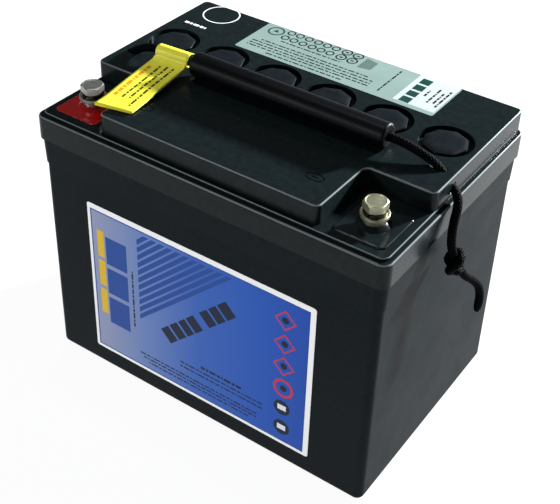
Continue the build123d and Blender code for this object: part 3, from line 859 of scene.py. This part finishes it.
field_ink = Paint("label_field", srgb(80, 100, 160), srgb(80, 100, 160), (0.26, 0.34), specular=0.12)
field_ink.gloss(60.0).bump(40.0, 0.0003, 0.12).along("X", -66, 62, [
    (0.0, srgb(150, 158, 188)), (0.25, srgb(106, 134, 194)), (0.5, srgb(58, 102, 188)),
    (0.8, srgb(36, 88, 186)), (1.0, srgb(30, 78, 176))])
navy_ink = ink("label_navy", srgb(20, 32, 58))
deep_ink = ink("label_deep_blue", srgb(34, 74, 152))
yellow_ink = ink("label_yellow", srgb(222, 182, 36))
red_ink = ink("label_red", srgb(196, 52, 66))
white_ink = ink("label_white", srgb(226, 228, 236))
green_ink = ink("label_green", srgb(20, 58, 52))
grey_ink = ink("label_grey", srgb(84, 102, 98))
panel_ink = ink("label_panel", srgb(172, 181, 185))
dark_ink = ink("label_dark", srgb(18, 26, 26))
orange_ink = ink("tag_orange", srgb(226, 142, 26))
brown_ink = ink("tag_dark", srgb(70, 66, 22))

# front label: u along X, v up, printed on the film's outer face
FRONT_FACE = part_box("front_label")[0].y / MM
FRONT_INKS = [field_ink.material, navy_ink, deep_ink, yellow_ink, red_ink, white_ink]
FIELD, NAVY, DEEP, YELLOW, RED, WHITE = range(len(FRONT_INKS))
BAND_SLOPE = 0.95
BAND_PITCH = 4.7
BAND_GAP = 1.5
TRIANGLE_LEFT = -37.7
TRIANGLE_BOTTOM = 45.4
TRIANGLE_TOP = 99.6
WORD_ANGLE = math.radians(43.8)
WORD_START = Vector((-24.2, 46.0))
WORD_HEIGHT = 9.0
WORD_BLOCKS = (
    (0.0, 6.2), (7.6, 13.8), (15.2, 20.6), (22.0, 28.2), (33.4, 39.6), (41.0, 47.0), (48.4, 55.2))


def on_front(u, v, w):
    return mm(u, FRONT_FACE - w, v)


def diagonal_bands(builder):
    """Parallel bands that fill a triangle in the label's upper left."""
    low = TRIANGLE_BOTTOM
    while low + BAND_PITCH - BAND_GAP < TRIANGLE_TOP:
        high = low + BAND_PITCH - BAND_GAP
        low_reach = min(TRIANGLE_TOP - low, BAND_SLOPE * 70.0)
        high_reach = min(TRIANGLE_TOP - high, BAND_SLOPE * 70.0)
        outline = [
            (TRIANGLE_LEFT, low),
            (TRIANGLE_LEFT + low_reach / BAND_SLOPE, low + low_reach),
            (TRIANGLE_LEFT + high_reach / BAND_SLOPE, high + high_reach),
            (TRIANGLE_LEFT, high),
        ]
        prism(builder, outline, on_front, DEEP, LAYER)
        low += BAND_PITCH


def name_blocks(builder):
    """Plain blocks where a name would stand, and a line of dashes beside them."""
    for start, end in ((37.2, 53.4), (55.6, 71.8), (74.0, 90.4)):
        prism(builder, rectangle(-63.5, start, -59.3, end), on_front, YELLOW, LAYER)
    for start, end in ((32.4, 49.6), (52.2, 68.4), (71.0, 88.0)):
        prism(builder, rectangle(-58.2, start, -44.8, end), on_front, DEEP, LAYER)
    print_column(builder, 38.0, 74.0, -41.6, 1.0, on_front, NAVY, LAYER)


def word_blocks(builder):
    """Two words as plain blocks on a diagonal."""
    along = Vector((math.cos(WORD_ANGLE), math.sin(WORD_ANGLE)))
    down = Vector((along.y, -along.x)) * WORD_HEIGHT
    for start, end in WORD_BLOCKS:
        a = WORD_START + along * start
        b = WORD_START + along * end
        prism(builder, [tuple(a), tuple(b), tuple(b + down), tuple(a + down)], on_front, NAVY, LAYER)


def safety_marks(builder):
    """Generic marks: three outlined squares on end, a ring and two discs."""
    for u, v in ((49.3, 90.2), (49.4, 76.0), (49.4, 62.3)):
        hoop(builder, regular(u, v, 6.0, 4), regular(u, v, 4.9, 4), on_front, RED, LAYER)
        prism(builder, regular(u, v, 1.9, 16), on_front, NAVY, LAYER)
    u, v = 49.7, 48.3
    hoop(builder, regular(u, v, 5.7), regular(u, v, 4.3), on_front, RED, LAYER)
    prism(builder, regular(u, v, 1.9, 16), on_front, NAVY, LAYER)
    for u, v in ((49.3, 35.5), (49.5, 22.5)):
        prism(builder, regular(u, v, 4.6), on_front, NAVY, LAYER)
        prism(builder, rectangle(u - 2.4, v - 1.5, u + 2.4, v + 1.7), on_front, WHITE, 2 * LAYER)


def print_front_label():
    builder = bmesh.new()
    field = rectangle(-66.3, 13.9, 61.6, 101.3)
    prism(builder, field, on_front, FIELD)
    hoop(builder, rectangle(-67.1, 13.2, 62.2, 102.0), field, on_front, DEEP)
    diagonal_bands(builder)
    name_blocks(builder)
    word_blocks(builder)
    print_row(builder, 0.7, 26.6, 33.9, 1.5, on_front, NAVY, LAYER)
    for index, (u0, u1, v) in enumerate((
            (-12.2, 38.8, 30.7), (-12.2, 38.8, 27.9), (-38.6, 35.5, 22.5), (-36.4, 35.5, 20.3),
            (-33.0, 30.5, 17.9))):
        print_row(builder, u0, u1, v, 0.85, on_front, NAVY, LAYER, index)
    safety_marks(builder)
    finish_print(builder, "front_label_print", FRONT_INKS, "battery")


# lid label: u along X, v along Y, printed on the film's top
LID_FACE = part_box("lid_label")[1].z / MM
LID_INKS = [panel_ink, green_ink, dark_ink, grey_ink]
PANEL, GREEN, DARK, GREY = range(len(LID_INKS))
SMALL_RINGS_U = (-35.4, -30.0, -24.4, -18.7, -13.2, -7.8)
LARGE_RINGS_U = (-1.1, 5.5)


def on_lid(u, v, w):
    return mm(u, v, LID_FACE + w)


def rating_panel(builder):
    """A pale panel at the label's right end, with blocks and columns of dashes."""
    prism(builder, rectangle(40.3, 35.0, 62.6, 64.4), on_lid, PANEL)
    for start, end in ((35.5, 40.8), (42.3, 47.4), (49.0, 54.4), (56.0, 61.5)):
        prism(builder, rectangle(43.1, start, 48.6, end), on_lid, GREEN, LAYER)
    for index, (v0, v1, u) in enumerate((
            (46.4, 52.6, 51.5), (41.7, 56.5, 55.3), (42.6, 53.9, 58.3), (39.9, 57.6, 60.6))):
        print_column(builder, v0, v1, u, 1.1, on_lid, DARK, LAYER, index)


def ring_marks(builder):
    """Two rows of plain rings, a larger one with a triangle, and a plain bin shape."""
    hoop(builder, regular(-43.2, 58.0, 4.6), regular(-43.2, 58.0, 3.7), on_lid, GREEN)
    prism(builder, regular(-43.2, 58.0, 1.9, 3, math.pi / 2), on_lid, GREEN)
    for row in (61.0, 54.9):
        for u in SMALL_RINGS_U:
            hoop(builder, regular(u, row, 2.4, 20), regular(u, row, 1.6, 20), on_lid, DARK)
        for u in LARGE_RINGS_U:
            hoop(builder, regular(u, row, 3.0, 22), regular(u, row, 2.2, 22), on_lid, DARK)
            prism(builder, rectangle(u - 0.9, row - 0.5, u + 0.9, row + 0.5), on_lid, DARK)
    prism(builder, [(10.5, 51.0), (17.5, 52.4), (17.5, 60.6), (10.5, 62.0)], on_lid, GREY)


def print_lid_label():
    builder = bmesh.new()
    rating_panel(builder)
    ring_marks(builder)
    for index, (u0, u1, v) in enumerate((
            (-35.0, 1.0, 50.2), (-44.0, 20.4, 45.6), (-48.0, 24.5, 43.0), (-48.0, 24.5, 40.4),
            (-48.0, 24.5, 38.0), (-34.0, 11.0, 35.0))):
        print_row(builder, u0, u1, v, 0.85, on_lid, DARK, 0.0, index)
    print_column(builder, 37.0, 61.0, 30.8, 0.9, on_lid, DARK)
    finish_print(builder, "lid_label_print", LID_INKS, "battery")


LID_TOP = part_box("lid")[1].z / MM


def on_lid_top(u, v, w):
    return mm(u, v, LID_TOP + w)


def print_lid_ring():
    """A plain ring and a few dashes printed on the lid itself, at the back left."""
    builder = bmesh.new()
    hoop(builder, regular(-77.5, 55.5, 10.2, 40), regular(-77.5, 55.5, 9.5, 40), on_lid_top)
    print_row(builder, -88.0, -74.0, 37.6, 1.8, on_lid_top, 0)
    finish_print(builder, "lid_ring_print", [white_ink], "battery")


TAG_INKS = [orange_ink, brown_ink]
ORANGE, BROWN = range(len(TAG_INKS))
TAG_PRINT_RISE = 0.5 * TAG_THICKNESS + 0.01
# each row along the flap: from, to, place across, width and ink
TAG_ROWS = (
    (17.4, 45.4, 3.2, 1.9, ORANGE), (14.6, 45.0, 7.6, 1.15, BROWN),
    (13.3, 43.8, 11.1, 1.15, BROWN), (13.0, 48.8, 14.6, 1.15, BROWN))
DASH_STEP = 1.2


def on_tag(v, across, w):
    """v forwards along the upper flap and across from its left edge, in millimetres."""
    u = across / TAG_WIDTH
    start_y, end_y = flap_y(u)
    flap = (-v - start_y) / (end_y - start_y)
    return tag_place(flap, u, True) + mm(0, 0, TAG_PRINT_RISE + w)


def print_tag():
    """Rows of dashes that bend with the tag."""
    builder = bmesh.new()
    for index, (v0, v1, across, width, colour) in enumerate(TAG_ROWS):
        for a, b in dashes(v0, v1, index):
            steps = max(1, math.ceil((b - a) / DASH_STEP))
            points = [a + (b - a) * i / steps for i in range(steps + 1)]
            outline = [(point, across - width / 2) for point in points]
            outline += [(point, across + width / 2) for point in reversed(points)]
            prism(builder, outline, on_tag, colour)
    finish_print(builder, "tag_print", TAG_INKS, "tag")


print_front_label()
print_lid_label()
print_lid_ring()
print_tag()


# ------------------------------------------------------------------ studio
def area_light(name, place, target, size, power):
    """A rectangular light of the given width and height in metres, turned to its target."""
    data = bpy.data.lights.new(name, "AREA")
    data.shape = "RECTANGLE"
    data.size, data.size_y = size
    data.energy = power
    light = bpy.data.objects.new(name, data)
    light.location = place
    light.rotation_euler = (Vector(place) - Vector(target)).to_track_quat("Z", "Y").to_euler()
    bpy.context.scene.collection.objects.link(light)


MIDDLE = mm(0, 0, 90)
KEY_DIRECTION = Vector((0.376, 0.874, 0.355)).normalized()
KEY_DISTANCE = 1.6
area_light("key", MIDDLE + KEY_DIRECTION * KEY_DISTANCE, MIDDLE, (0.1, 0.1), 124.0)
area_light("front_soft", mm(-760, -1420, 630), MIDDLE, (0.5, 0.2), 8.5)
area_light("edge_strip", mm(-150, 50, 750), mm(80, -40, 150), (0.07, 0.035), 0.8)

world = bpy.data.worlds.new("studio")
world.use_nodes = True
background = world.node_tree.nodes["Background"]
background.inputs["Color"].default_value = (0.88, 0.94, 1.0, 1.0)
background.inputs["Strength"].default_value = 0.1
bpy.context.scene.world = world

# The floor glows, so that it stays pale and shows pale in the plastic's gloss.
FLOOR_DARK = (0.1, 0.1, 0.1, 1.0)
FLOOR_LIGHT = (0.11, 0.11, 0.11, 1.0)
FLOOR_HALF_SIZE = 6.0
FLOOR_GAP = 0.4 * MM
floor_paint = Paint("studio_floor", FLOOR_DARK, FLOOR_LIGHT, (0.7, 0.8), specular=0.1)
floor_paint.mottle(3.0).gloss(4.0)
floor_paint.shader.inputs["Emission Color"].default_value = (1.0, 1.0, 1.0, 1.0)
floor_paint.shader.inputs["Emission Strength"].default_value = 0.94
builder = bmesh.new()
bmesh.ops.create_grid(builder, x_segments=8, y_segments=8, size=FLOOR_HALF_SIZE)
floor = add_piece("studio_floor", builder, [floor_paint.material])
floor.location.z = -FLOOR_GAP

bpy.context.view_layer.update()
